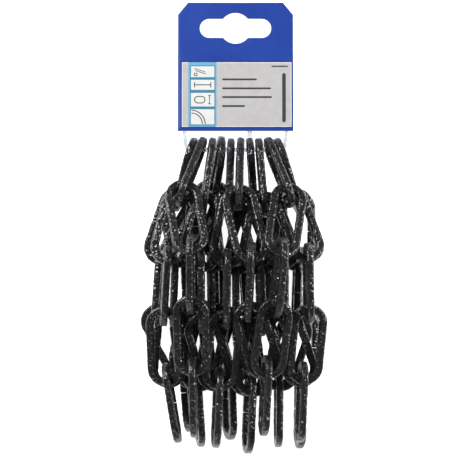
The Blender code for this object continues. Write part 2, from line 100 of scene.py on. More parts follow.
@dataclass
class Surface:
    """Points with their faces, and one number for each point that its finish reads."""

    points: np.ndarray
    quads: np.ndarray
    triangles: np.ndarray
    marks: np.ndarray

    @staticmethod
    def joined(surfaces: list["Surface"]) -> "Surface":
        """Several surfaces as one, with their faces renumbered.

        Args:
            surfaces: The surfaces to join.

        Returns:
            One surface that holds them all.
        """
        starts = np.cumsum([0] + [len(surface.points) for surface in surfaces[:-1]])
        return Surface(
            np.concatenate([surface.points for surface in surfaces]),
            np.concatenate([surface.quads + start for surface, start in zip(surfaces, starts)]),
            np.concatenate([surface.triangles + start for surface, start in zip(surfaces, starts)]),
            np.concatenate([surface.marks for surface in surfaces]),
        )

    def moved(self, origin: np.ndarray, axes: np.ndarray) -> "Surface":
        """The surface with its points read as steps along three axes (columns) from an origin."""
        return Surface(origin + self.points @ axes.T, self.quads, self.triangles, self.marks)


def grid_quads(rows: int, columns: int, close_rows: bool, close_columns: bool) -> np.ndarray:
    """The faces of a grid of points, each (row, column), (row + 1, column) and round.

    Args:
        rows: Number of rows of points.
        columns: Number of points in each row.
        close_rows: Whether the last row joins the first.
        close_columns: Whether the last point of a row joins its first.

    Returns:
        One row of four point numbers for each face.
    """
    row = np.arange(rows if close_rows else rows - 1)[:, None]
    column = np.arange(columns if close_columns else columns - 1)[None, :]
    next_row, next_column = (row + 1) % rows, (column + 1) % columns
    corners = [row * columns + column, next_row * columns + column]
    corners += [next_row * columns + next_column, row * columns + next_column]
    return np.stack(corners, -1).reshape(-1, 4)


def rounded_box(
    run: np.ndarray, half_x: float, half_y: float, radius: float
) -> tuple[np.ndarray, np.ndarray]:
    """Points and outward directions on a box with round corners.

    Along a side the corner's centre slides and the direction stands still. Along a corner the
    centre stands still and the direction turns evenly. A point is the centre plus the radius times
    the direction. With a radius of half the width the box is an oval.

    Args:
        run: Distances along the outline from the middle of its right side, anticlockwise.
        half_x: Half the box's width.
        half_y: Half its height.
        radius: Radius of its corners.

    Returns:
        The points and the directions, a row (x, y) for each distance.
    """
    side_x, side_y, arc = half_x - radius, half_y - radius, math.pi / 2 * radius
    steps = [side_y, arc, 2 * side_x, arc, 2 * side_y, arc, 2 * side_x, arc, side_y]
    ends = np.concatenate([[0], np.cumsum(steps)])
    centre_x = np.interp(run, ends, side_x * np.array([1, 1, 1, -1, -1, -1, -1, 1, 1, 1]))
    centre_y = np.interp(run, ends, side_y * np.array([0, 1, 1, 1, 1, -1, -1, -1, -1, 0]))
    angle = np.interp(run, ends, math.pi / 2 * np.array([0, 0, 1, 1, 2, 2, 3, 3, 4, 4]))
    out = np.stack([np.cos(angle), np.sin(angle)], -1)
    return np.stack([centre_x, centre_y], -1) + radius * out, out


def box_length(half_x: float, half_y: float, radius: float) -> float:
    """The length of a rounded box's outline."""
    return 4 * (half_x + half_y - 2 * radius) + FULL_TURN * radius


def prism(outline: np.ndarray, low: float, high: float, bevel: float) -> Surface:
    """A flat plate: an outline lofted through its edge's profile and closed at its middle.

    The rings of the loft are the outline pulled towards its middle by the profile's insets, at the
    profile's heights. Both ends close in a fan.

    Args:
        outline: Points (x, y) of a convex outline, anticlockwise.
        low: Height of the plate's back.
        high: Height of its face.
        bevel: How far its upper edge is taken off.

    Returns:
        The closed plate.
    """
    middle = outline.mean(0)
    reach = np.linalg.norm(outline - middle, axis=1)[:, None]
    rounding = bevel * EDGE_SHARE
    profile = [(low, 0.0), (high - bevel, 0.0), (high - rounding, rounding), (high, bevel)]
    rings = [
        np.hstack([outline - (outline - middle) / reach * inset, np.full_like(reach, level)])
        for level, inset in profile
    ]
    count = len(outline)
    ends = np.array([[*middle, low], [*middle, high]])
    points = np.vstack(rings + [ends])
    quads = grid_quads(len(profile), count, False, True)[:, ::-1]
    here, after = np.arange(count), (np.arange(count) + 1) % count
    last = (len(profile) - 1) * count
    back = np.stack([np.full(count, len(points) - 2), after, here], -1)
    face = np.stack([np.full(count, len(points) - 1), last + here, last + after], -1)
    return Surface(points, quads, np.vstack([back, face]), np.zeros(len(points)))


def swept(route: np.ndarray, section: np.ndarray, closed: bool) -> Surface:
    """A section carried along a route that lies in the XY plane.

    A point is the route's point, plus the section's sideways part along the route's right-hand
    normal, at the section's height. An open route closes in a fan at each end.

    Args:
        route: Points (x, y) of the route.
        section: Points (sideways, up) of the section, clockwise as seen along the route.
        closed: Whether the route's last point joins its first.

    Returns:
        The closed tube or band.
    """
    if closed:
        step = np.roll(route, -1, 0) - np.roll(route, 1, 0)
    else:
        step = np.gradient(route, axis=0)
    step /= np.linalg.norm(step, axis=1)[:, None]
    side = np.stack([step[:, 1], -step[:, 0]], -1)
    flat = route[:, None] + side[:, None] * section[None, :, :1]
    height = np.broadcast_to(section[None, :, 1:], (*flat.shape[:2], 1))
    points = np.concatenate([flat, height], -1).reshape(-1, 3)
    count = len(section)
    quads = grid_quads(len(route), count, closed, True)
    triangles = np.empty((0, 3), int)
    if not closed:
        here, after = np.arange(count), (np.arange(count) + 1) % count
        start, end = np.full(count, len(points)), np.full(count, len(points) + 1)
        last = (len(route) - 1) * count
        fans = [np.stack([start, here, after], -1), np.stack([end, last + after, last + here], -1)]
        triangles = np.vstack(fans)
        points = np.vstack([points, points[:count].mean(0), points[-count:].mean(0)])
    return Surface(points, quads, triangles, np.zeros(len(points)))


def make_piece(
    name: str, surface: Surface, material: bpy.types.Material, sharp: float = NEVER_SHARP
) -> bpy.types.Object:
    """An object of a surface that is in millimetres.

    Args:
        name: The object's name.
        surface: Its points, faces and marks.
        material: Its finish.
        sharp: Edges that turn by more than this many degrees stay sharp.

    Returns:
        The object, at the origin, with its place in its mesh.
    """
    mesh = bpy.data.meshes.new(name)
    mesh.vertices.add(len(surface.points))
    mesh.vertices.foreach_set("co", (surface.points * MM).astype(np.float32).ravel())
    corners = np.concatenate([surface.quads.ravel(), surface.triangles.ravel()]).astype(np.int32)
    sizes = np.concatenate([np.full(len(surface.quads), 4), np.full(len(surface.triangles), 3)])
    mesh.loops.add(len(corners))
    mesh.loops.foreach_set("vertex_index", corners)
    mesh.polygons.add(len(sizes))
    mesh.polygons.foreach_set("loop_start", (np.cumsum(sizes) - sizes).astype(np.int32))
    mesh.polygons.foreach_set("use_smooth", np.ones(len(sizes), bool))
    mesh.update(calc_edges=True)
    marks = mesh.attributes.new(MARKS, "FLOAT", "POINT")
    marks.data.foreach_set("value", surface.marks.astype(np.float32))
    if sharp < NEVER_SHARP:
        mesh.set_sharp_from_angle(angle=math.radians(sharp))
    mesh.materials.append(material)
    piece = bpy.data.objects.new(name, mesh)
    bpy.context.scene.collection.objects.link(piece)
    LOG.info("%s: %d points, %d faces", name, len(surface.points), len(sizes))
    return piece


# What the frame says


def node_triangles(node: bpy.types.Object) -> np.ndarray:
    """The triangles of a frame node.

    Args:
        node: The node.

    Returns:
        Their corners in millimetres: triangle, corner, coordinate.
    """
    mesh = node.data
    mesh.calc_loop_triangles()
    places = np.empty(len(mesh.vertices) * 3, np.float32)
    mesh.vertices.foreach_get("co", places)
    corners = np.empty(len(mesh.loop_triangles) * 3, np.int32)
    mesh.loop_triangles.foreach_get("vertices", corners)
    return places.reshape(-1, 3).astype(float)[corners].reshape(-1, 3, 3) / MM


@dataclass
class Flat:
    """A flat face of a solid: its outward normal, its area and the corners of its triangles."""

    normal: np.ndarray
    area: float
    corners: np.ndarray

    @property
    def middle(self) -> np.ndarray:
        """The middle of the face's corners' range along each coordinate."""
        points = self.corners.reshape(-1, 3)
        return (points.min(0) + points.max(0)) / 2


def flats(triangles: np.ndarray, least: float) -> list[Flat]:
    """The flat faces of a solid that are at least this large, in square millimetres.

    Starting from the largest triangle left, a face takes every triangle whose normal agrees with
    it and whose middle lies in its plane.

    Args:
        triangles: Triangle, corner, coordinate.
        least: Faces of a smaller area are left out.

    Returns:
        The faces, in the order in which they are found.
    """
    cross = np.cross(triangles[:, 1] - triangles[:, 0], triangles[:, 2] - triangles[:, 0])
    double = np.linalg.norm(cross, axis=1)
    normals = cross / np.maximum(double, TINY)[:, None]
    middles = triangles.mean(1)
    left = double > LEAST_DOUBLE_AREA
    found = []
    while left.any():
        seed = int(np.argmax(double * left))
        level = np.abs((middles - middles[seed]) @ normals[seed])
        same = left & (normals @ normals[seed] > SAME_WAY) & (level < SAME_PLANE)
        area = float(double[same].sum() / 2)
        if area >= least:
            found.append(Flat(normals[seed], area, triangles[same]))
        left &= ~same
    return found


@dataclass(frozen=True)
class Wire:
    """The square wire of the chain and the oval that it is bent to."""

    wide: float = 3.8
    thick: float = 3.4
    corner: float = 1.05
    link_length: float = 36.5
    link_width: float = 16.6
    joint_gap: float = 0.16
    end_round: float = 0.35

    @property
    def path_half_x(self) -> float:
        """Half the width of the wire's middle line, which is also the radius of its bends."""
        return (self.link_width - self.wide) / 2

    @property
    def path_half_y(self) -> float:
        """Half the length of the wire's middle line."""
        return (self.link_length - self.wide) / 2


@dataclass(frozen=True)
class LinkPlace:
    """A link's centre, and its axes as columns: towards its butted leg, along it, through it."""

    centre: np.ndarray
    axes: np.ndarray


def link_places(node: bpy.types.Object, wire: Wire) -> list[LinkPlace]:
    """Where the links of a frame node lie, read from its solid.

    Each link shows two large parallel faces, its wire's thickness apart. Their common middle is
    the link's centre and their longest direction runs along it. The small faces across the wire
    near its middle are those of the butted leg.

    Args:
        node: The frame node of one link or of the links of one fold.
        wire: The wire's sizes.

    Returns:
        A place for each link.
    """
    triangles = node_triangles(node)
    faces = flats(triangles, LINK_FACE_AREA)
    places = []
    for number, first in enumerate(faces):
        for second in faces[number + 1:]:
            apart = second.middle - first.middle
            opposite = first.normal @ second.normal <= -SAME_WAY
            if opposite and np.linalg.norm(apart) <= wire.thick + READING_SLACK:
                places.append(place_between(first, second, triangles, wire))
    return places


def place_between(first: Flat, second: Flat, triangles: np.ndarray, wire: Wire) -> LinkPlace:
    """The place of the link that lies between two parallel faces.

    Args:
        first: One face of the link.
        second: The other.
        triangles: All triangles of the node, in which the butted ends are looked for.
        wire: The wire's sizes.

    Returns:
        The link's centre and axes.
    """
    through = (first.normal - second.normal) / np.linalg.norm(first.normal - second.normal)
    points = np.concatenate([first.corners.reshape(-1, 3), second.corners.reshape(-1, 3)])
    spread = points - points.mean(0)
    spread -= np.outer(spread @ through, through)
    along = np.linalg.svd(spread, full_matrices=False)[2][0]
    along -= through * (along @ through)
    along /= np.linalg.norm(along)
    across = np.cross(along, through)
    axes = np.column_stack([across, along, through])
    local = points @ axes
    centre = axes @ ((local.min(0) + local.max(0)) / 2)

    sides = np.cross(triangles[:, 1] - triangles[:, 0], triangles[:, 2] - triangles[:, 0])
    middles = (triangles.mean(1) - centre) @ axes
    ends = np.abs(sides @ along) > NEARLY_SAME_WAY * np.linalg.norm(sides, axis=1)
    ends &= (np.abs(middles[:, 1]) < READING_SLACK) & (np.abs(middles[:, 2]) < wire.thick / 2)
    ends &= np.abs(np.abs(middles[:, 0]) - wire.path_half_x) < wire.wide / 2
    butted = np.sign((np.linalg.norm(sides, axis=1) * middles[:, 0] * ends).sum()) or 1.0
    return LinkPlace(centre, axes * (butted, 1, butted))


# Finishes


class Nodes:
    """A material's node tree, with short ways to add the nodes that the finishes share."""

    def __init__(self, name: str) -> None:
        """Makes a plain material.

        Args:
            name: The material's name.
        """
        self.material = bpy.data.materials.new(name)
        self.material.use_nodes = True
        self.tree = self.material.node_tree
        self.shader = self.tree.nodes["Principled BSDF"]
        self.coordinates = self.tree.nodes.new("ShaderNodeTexCoord").outputs["Object"]

    def settings(self, **values: object) -> None:
        """Sets the shader's own sockets, named with underscores for spaces."""
        for name, value in values.items():
            self.shader.inputs[name.replace("_", " ").title().replace("Ior", "IOR")].default_value = value

    def link(self, source: bpy.types.NodeSocket, target: bpy.types.NodeSocket) -> None:
        """Joins an output to an input."""
        self.tree.links.new(source, target)

    def coloured(self, source: bpy.types.NodeSocket) -> None:
        """Gives the shader its base colour."""
        self.link(source, self.shader.inputs["Base Color"])

    def roughened(self, source: bpy.types.NodeSocket, onto: tuple) -> None:
        """Lets a noise move the shader's roughness between two values."""
        self.link(self.ranged(source, NOISE_BAND, onto), self.shader.inputs["Roughness"])

    def noise(self, cell: float, detail: float = 2.0, roughness: float = 0.5) -> bpy.types.NodeSocket:
        """Noise in the object's own space.

        Args:
            cell: How many millimetres its patches are across.
            detail: How many finer layers it has.
            roughness: How strong these are.

        Returns:
            The noise, from 0 to 1.
        """
        node = self.tree.nodes.new("ShaderNodeTexNoise")
        node.inputs["Scale"].default_value = 1 / (cell * MM)
        node.inputs["Detail"].default_value = detail
        node.inputs["Roughness"].default_value = roughness
        self.link(self.coordinates, node.inputs["Vector"])
        return node.outputs["Fac"]

    def cells(self, cell: float) -> bpy.types.NodeSocket:
        """Soft cells in the object's own space.

        Args:
            cell: How many millimetres they are across.

        Returns:
            The distance to the nearest cell's middle, in cells.
        """
        node = self.tree.nodes.new("ShaderNodeTexVoronoi")
        node.feature = "SMOOTH_F1"
        node.inputs["Scale"].default_value = 1 / (cell * MM)
        node.inputs["Smoothness"].default_value = CELL_SMOOTHNESS
        self.link(self.coordinates, node.inputs["Vector"])
        return node.outputs["Distance"]

    def marks(self) -> bpy.types.NodeSocket:
        """The number that the mesh holds for each of its points.

        Returns:
            The number, from 0 to 1.
        """
        node = self.tree.nodes.new("ShaderNodeAttribute")
        node.attribute_name = MARKS
        return node.outputs["Fac"]

    def ranged(self, source: bpy.types.NodeSocket, band: tuple, onto: tuple) -> bpy.types.NodeSocket:
        """A value mapped evenly from one band onto another, and held at its ends.

        Args:
            source: The value.
            band: The low and the high end of the band.
            onto: What they become.

        Returns:
            The mapped value.
        """
        node = self.tree.nodes.new("ShaderNodeMapRange")
        for socket, value in zip(("From Min", "From Max", "To Min", "To Max"), (*band, *onto)):
            node.inputs[socket].default_value = value
        self.link(source, node.inputs["Value"])
        return node.outputs["Result"]

    def maths(
        self, operation: str, first: bpy.types.NodeSocket, second: bpy.types.NodeSocket | float
    ) -> bpy.types.NodeSocket:
        """The sum, product or other result of two values.

        Args:
            operation: The name of the operation.
            first: The first value.
            second: The second value, or a plain number.

        Returns:
            The result.
        """
        node = self.tree.nodes.new("ShaderNodeMath")
        node.operation = operation
        self.link(first, node.inputs[0])
        if isinstance(second, float):
            node.inputs[1].default_value = second
        else:
            self.link(second, node.inputs[1])
        return node.outputs["Value"]

    def blended(
        self, factor: bpy.types.NodeSocket, first: bpy.types.NodeSocket | tuple, second: tuple
    ) -> bpy.types.NodeSocket:
        """A colour between two colours.

        Args:
            factor: 0 for the first colour, 1 for the second.
            first: The first colour, from a node or as three numbers.
            second: The second colour.

        Returns:
            The colour.
        """
        node = self.tree.nodes.new("ShaderNodeMix")
        node.data_type = "RGBA"
        self.link(factor, node.inputs["Factor"])
        if isinstance(first, tuple):
            node.inputs["A"].default_value = (*first, 1.0)
        else:
            self.link(first, node.inputs["A"])
        node.inputs["B"].default_value = (*second, 1.0)
        return node.outputs["Result"]

    def bump(self, height: bpy.types.NodeSocket, depth: float, strength: float = 1.0) -> None:
        """Bumps the surface.

        Args:
            height: The height, from 0 to 1.
            depth: How many millimetres that is.
            strength: The share of the bump that is used.
        """
        node = self.tree.nodes.new("ShaderNodeBump")
        node.inputs["Distance"].default_value = depth * MM
        node.inputs["Strength"].default_value = strength
        self.link(height, node.inputs["Height"])
        self.link(node.outputs["Normal"], self.shader.inputs["Normal"])


@dataclass(frozen=True)
class HammeredPaint:
    """Semi-gloss black paint over hammered steel, pitted, and thin where the wire is proud.

    The marked places, broken up by a cloud and by the grain, show a lighter colour. Along the
    wire's rounded rims this is a painted highlight, and on its proud spots it is paint worn thin
    mixed with a painted speckled highlight. The height is that of the pits, plus a share of the grain.
    """

    name: str = "hammered_black_paint"
    dark: tuple = (0.0045, 0.0045, 0.005)
    worn_and_highlit: tuple = (0.036, 0.037, 0.037)
    pit: float = 1.2
    pit_band: tuple = (0.0, 0.75)
    depth: float = 0.22
    grain: float = 0.5
    grain_height: float = 0.12
    grain_band: tuple = (0.42, 0.6)
    grain_share: tuple = (0.35, 1.0)
    cloud: float = 6.0
    cloud_share: tuple = (0.45, 1.0)
    roughness: tuple = (0.25, 0.36)
    specular: float = 0.7
    coat: float = 0.12
    coat_roughness: float = 0.2

    def material(self) -> bpy.types.Material:
        """The paint.

        Returns:
            The material.
        """
        nodes = Nodes(self.name)
        pits = nodes.ranged(nodes.cells(self.pit), self.pit_band, WHOLE)
        grain = nodes.noise(self.grain, FINE_DETAIL, FINE_ROUGHNESS)
        cloud = nodes.ranged(nodes.noise(self.cloud), CLOUD_BAND, self.cloud_share)
        # Lighter colour where marked: a painted highlight on the rims, and paint worn thin mixed with a
        # painted speckled highlight on proud spots
        proud = nodes.maths("MULTIPLY", nodes.marks(), cloud)
        wear_and_highlight_speckle = nodes.maths("MULTIPLY", proud, nodes.ranged(grain, self.grain_band, self.grain_share))
        nodes.coloured(nodes.blended(wear_and_highlight_speckle, self.dark, self.worn_and_highlit))
        nodes.roughened(grain, self.roughness)
        height = nodes.maths("ADD", pits, nodes.maths("MULTIPLY", grain, self.grain_height))
        nodes.bump(height, self.depth)
        nodes.settings(
            specular_ior_level=self.specular, coat_weight=self.coat, coat_roughness=self.coat_roughness
        )
        return nodes.material


@dataclass(frozen=True)
class CoatedCard:
    """Printed and varnished board, with its pale core showing at the cut edges."""

    name: str = "blue_coated_card"
    print_colour: tuple = (0.008, 0.040, 0.275)
    print_light: tuple = (0.014, 0.050, 0.310)
    core: tuple = (0.50, 0.50, 0.48)
    cloud: float = 24.0
    tooth: float = 0.5
    tooth_depth: float = 0.02
    tooth_strength: float = 0.35
    roughness: tuple = (0.34, 0.46)
    specular: float = 0.3
    coat: float = 0.06
    coat_roughness: float = 0.25

    def material(self) -> bpy.types.Material:
        """The board: an even print with a faint cloud, a fine tooth and bare edges.

        Returns:
            The material.
        """
        nodes = Nodes(self.name)
        cloud = nodes.ranged(nodes.noise(self.cloud, FINE_DETAIL), CLOUD_BAND, WHOLE)
        inked = nodes.blended(cloud, self.print_colour, self.print_light)
        nodes.coloured(nodes.blended(nodes.marks(), inked, self.core))
        tooth = nodes.noise(self.tooth, FINE_DETAIL, FINE_ROUGHNESS)
        nodes.roughened(tooth, self.roughness)
        nodes.bump(tooth, self.tooth_depth, self.tooth_strength)
        nodes.settings(
            specular_ior_level=self.specular, coat_weight=self.coat, coat_roughness=self.coat_roughness
        )
        return nodes.material


@dataclass(frozen=True)
class LabelInk:
    """One flat colour of the label's print, on paper with a faint tooth."""

    name: str
    colour: tuple
    shade: float = 0.92
    mottle: float = 3.0
    mottle_detail: float = 4.0
    tooth: float = 0.4
    tooth_depth: float = 0.015
    tooth_strength: float = 0.3
    roughness: tuple = (0.37, 0.49)
    specular: float = 0.4

    def material(self) -> bpy.types.Material:
        """The ink: its colour with a slight mottle, and the paper's tooth as bump.

        Returns:
            The material.
        """
        nodes = Nodes(self.name)
        noise = nodes.noise(self.mottle, self.mottle_detail, FINE_ROUGHNESS)
        darker = tuple(part * self.shade for part in self.colour)
        nodes.coloured(nodes.blended(nodes.ranged(noise, CLOUD_BAND, WHOLE), darker, self.colour))
        tooth = nodes.noise(self.tooth, FINE_DETAIL, FINE_ROUGHNESS)
        nodes.roughened(tooth, self.roughness)
        nodes.bump(tooth, self.tooth_depth, self.tooth_strength)
        nodes.settings(specular_ior_level=self.specular)
        return nodes.material


@dataclass(frozen=True)
class ClearPlastic:
    """Clear moulded plastic, a little cloudy, with fine drawn waves."""

    name: str = "clear_moulded_plastic"
    tint: tuple = (0.62, 0.66, 0.69)
    shade: float = 0.94
    haze: float = 1.6
    haze_depth: float = 0.05
    haze_strength: float = 0.4
    roughness: tuple = (0.10, 0.22)
    transmission: float = 0.78
    refraction: float = 1.46
    specular: float = 0.6

    def material(self) -> bpy.types.Material:
        """The plastic: clear, with a soft surface that breaks up what shows through.

        Returns:
            The material.
        """
        nodes = Nodes(self.name)
        haze = nodes.noise(self.haze)
        darker = tuple(part * self.shade for part in self.tint)
        nodes.coloured(nodes.blended(haze, darker, self.tint))
        nodes.roughened(haze, self.roughness)
        nodes.bump(haze, self.haze_depth, self.haze_strength)
        nodes.settings(
            transmission_weight=self.transmission, ior=self.refraction, specular_ior_level=self.specular
        )
        return nodes.material


@dataclass(frozen=True)
class StudioSurface:
    """The studio's plain pale floor."""

    name: str = "studio_floor"
    colour: tuple = (0.93, 0.93, 0.93)
    roughness: float = 0.9
    specular: float = 0.1
    light: tuple = (1.0, 1.0, 1.0)
    glow: float = 0.93

    def material(self) -> bpy.types.Material:
        """A matt pale surface that glows, as a lit table does.

        Returns:
            The material.
        """
        nodes = Nodes(self.name)
        nodes.settings(
            base_color=(*self.colour, 1.0),
            roughness=self.roughness,
            specular_ior_level=self.specular,
            emission_color=(*self.light, 1.0),
            emission_strength=self.glow,
        )
        return nodes.material


# The chain


@dataclass
class Chain:
    """The links, their wire hammered all over and butted in the middle of one leg."""

    wire: Wire = field(default_factory=Wire)
    finish: HammeredPaint = field(default_factory=HammeredPaint)
    blow_step: float = 1.35
    blow_reach: float = 1.1
    blow_depth: tuple = (0.07, 0.26)
    sway: float = 0.05
    sway_steps: tuple = (1.3, 2.1, 3.7)
    end_steps: tuple = (0.0, 0.12, 0.45, 1.0)
    rim_shelter: float = 0.35
    # How strongly points are marked lighter: a painted highlight on the rims, paint worn thin with a
    # painted highlight on proud spots
    rim_highlight: float = 0.75
    proud_wear_and_highlight: float = 0.45
    least_wear_and_highlight: float = 0.1
    node_words: tuple = ("link", "fold")

    def stations(self, count: int) -> tuple[np.ndarray, np.ndarray]:
        """Distances along the wire from one butted end to the other, and how far its ends are rounded.

        The inset at a distance d from an end, for a rounding r, is r less the root of r squared
        less (r less d) squared.

        Args:
            count: Number of stations.

        Returns:
            The distances, and the section's inset at each.
        """
        whole = box_length(self.wire.path_half_x, self.wire.path_half_y, self.wire.path_half_x)
        length = whole - self.wire.joint_gap
        near = self.wire.end_round * np.array(self.end_steps)
        inner = np.linspace(near[-1], length - near[-1], count - 2 * len(near) + 2)[1:-1]
        run = np.concatenate([near, inner, (length - near)[::-1]])
        short = np.maximum(0, self.wire.end_round - np.minimum(run, length - run))
        inset = self.wire.end_round - np.sqrt(self.wire.end_round**2 - short**2)
        return run + self.wire.joint_gap / 2, inset

    def relief(self, run: np.ndarray, turn: np.ndarray, seed: int) -> tuple[np.ndarray, np.ndarray]:
        """How deep the hammer has left each point of the wire.

        Blows fall on a jittered grid over the unrolled wire. Each leaves a round hollow, whose
        height is its depth times the square of distance over reach, less its depth. The surface is
        the lowest of the hollows near it, and never above the bare wire. A slow sway, the mean of
        three sines along the wire, is taken off as well.

        Args:
            run: Distance along the wire of each station.
            turn: Distance round the section of each point.
            seed: The link's number, which sets its blows.

        Returns:
            The height of each point, station by station, and how proud it is, from 0 to 1.
        """
        around = turn[-1] + turn[1] - turn[0]
        rows = int(run[-1] / self.blow_step) + 3
        columns = round(around / self.blow_step)
        random = np.random.default_rng(seed)
        jitter = random.random((rows, columns, 2))
        depth = random.uniform(*self.blow_depth, (rows, columns))
        row = (run / self.blow_step).astype(int)[:, None]
        column = (turn / around * columns).astype(int)[None, :]
        height = np.zeros((len(run), len(turn)))
        for row_step in (-1, 0, 1):
            for column_step in (-1, 0, 1):
                here_row, here_column = row + row_step, column + column_step
                spot = jitter[here_row % rows, here_column % columns]
                off_run = run[:, None] - (here_row + spot[..., 0]) * self.blow_step
                off_turn = turn[None, :] - (here_column + spot[..., 1]) * around / columns
                deep = depth[here_row % rows, here_column % columns]
                hollow = deep * ((off_run**2 + off_turn**2) / self.blow_reach**2 - 1)
                height = np.minimum(height, hollow)
        proud = 1 + height / self.blow_depth[1]
        phase = random.uniform(0, FULL_TURN, len(self.sway_steps))
        waves = sum(np.sin(run / step + angle) for step, angle in zip(self.sway_steps, phase)) / len(phase)
        return height - self.sway * (1 - waves[:, None]) / 2, np.clip(proud, 0, 1)

    def link(self, place: LinkPlace, detail: Detail, seed: int) -> Surface:
        """One link: a rounded square section carried along an oval.

        A point is the middle line's point, plus the section's sideways part along the middle
        line's outward direction, plus its other part through the link. The relief moves it along
        the section's own outward direction, less so on the section's corners. Those are told by
        the squared sine of twice the direction's angle, which is 1 there and 0 on the flats.

        Args:
            place: Where the link lies.
            detail: How finely it is drawn.
            seed: The link's number.

        Returns:
            The closed link.
        """
        stations, around = detail.value
        wire = self.wire
        run, inset = self.stations(stations)
        middle, out = rounded_box(run, wire.path_half_x, wire.path_half_y, wire.path_half_x)
        section_box = (wire.wide / 2, wire.thick / 2, wire.corner)
        turn = (np.arange(around) + 0.5) / around * box_length(*section_box)
        section, facing = rounded_box(turn, *section_box)
        height, proud = self.relief(run, turn, seed)
        rim = 4 * (facing[:, 0] * facing[:, 1]) ** 2
        height = height * (1 - self.rim_shelter * rim) - inset[:, None]
        sideways = section[:, 0] + height * facing[:, 0]
        lift = section[:, 1] + height * facing[:, 1]
        flat = middle[:, None] + out[:, None] * sideways[..., None]
        points = np.concatenate([flat, lift[..., None]], -1).reshape(-1, 3)
        ends = np.stack([points[:around].mean(0), points[-around:].mean(0)])
        here, after = np.arange(around), (np.arange(around) + 1) % around
        last = (stations - 1) * around
        first_end, last_end = np.full(around, len(points)), np.full(around, len(points) + 1)
        fans = [np.stack([first_end, here, after], -1), np.stack([last_end, last + after, last + here], -1)]
        # The marks: a painted highlight along the section's rounded rims, and paint worn thin mixed with a
        # painted highlight on proud spots
        marks = np.clip(self.rim_highlight * rim + self.proud_wear_and_highlight * proud**2 - self.least_wear_and_highlight, 0, 1).ravel()
        whole = Surface(
            np.vstack([points, ends]),
            grid_quads(stations, around, False, True),
            np.vstack(fans),
            np.append(marks, [0.0, 0.0]),
        )
        return whole.moved(place.centre, place.axes)

    def build(self, nodes: dict) -> None:
        """Makes a hammered piece for each node of the chain, and dresses it.

        Args:
            nodes: The frame's nodes by name.
        """
        paint = self.finish.material()
        seed = 0
        for name in sorted(nodes):
            if not any(word in name for word in self.node_words):
                continue
            detail = Detail.BACK if name.startswith("back_fold") else Detail.FRONT
            links = []
            for place in link_places(nodes[name], self.wire):
                seed += 1
                links.append(self.link(place, detail, seed))
            piece = make_piece(f"hammered_{name}", Surface.joined(links), paint)
            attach(piece, "root")
            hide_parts(name)
            LOG.info("%s holds %d links", name, len(links))


# The card and its loop


@dataclass(frozen=True)
class CardPlane:
    """The card's face as the frame has it: the middle of its lower edge, and its axes.

    The axes are columns: across, up the card, and out of its face.
    """

    origin: np.ndarray
    axes: np.ndarray
    width: float
    height: float
    thick: float

    @staticmethod
    def of_node(node: bpy.types.Object) -> "CardPlane":
        """Reads the plane from the card's largest face that looks up.

        Args:
            node: The card's frame node.

        Returns:
            The plane, with the card's sizes.
        """
        triangles = node_triangles(node)
        upper = [flat for flat in flats(triangles, CARD_FACE_AREA) if flat.normal[2] > 0]
        face = max(upper, key=lambda flat: flat.area)
        up = np.array([0.0, 1.0, 0.0]) - face.normal * face.normal[1]
        up /= np.linalg.norm(up)
        axes = np.column_stack([np.cross(up, face.normal), up, face.normal])
        local = triangles.reshape(-1, 3) @ axes
        low, high = local.min(0), local.max(0)
        origin = axes @ np.array([(low[0] + high[0]) / 2, low[1], high[2]])
        return CardPlane(origin, axes, *(high - low))

    def box(self, node: bpy.types.Object) -> tuple[np.ndarray, np.ndarray]:
        """A node's lowest and highest corner as steps along the card's axes from its origin."""
        local = (node_triangles(node).reshape(-1, 3) - self.origin) @ self.axes
        return local.min(0), local.max(0)


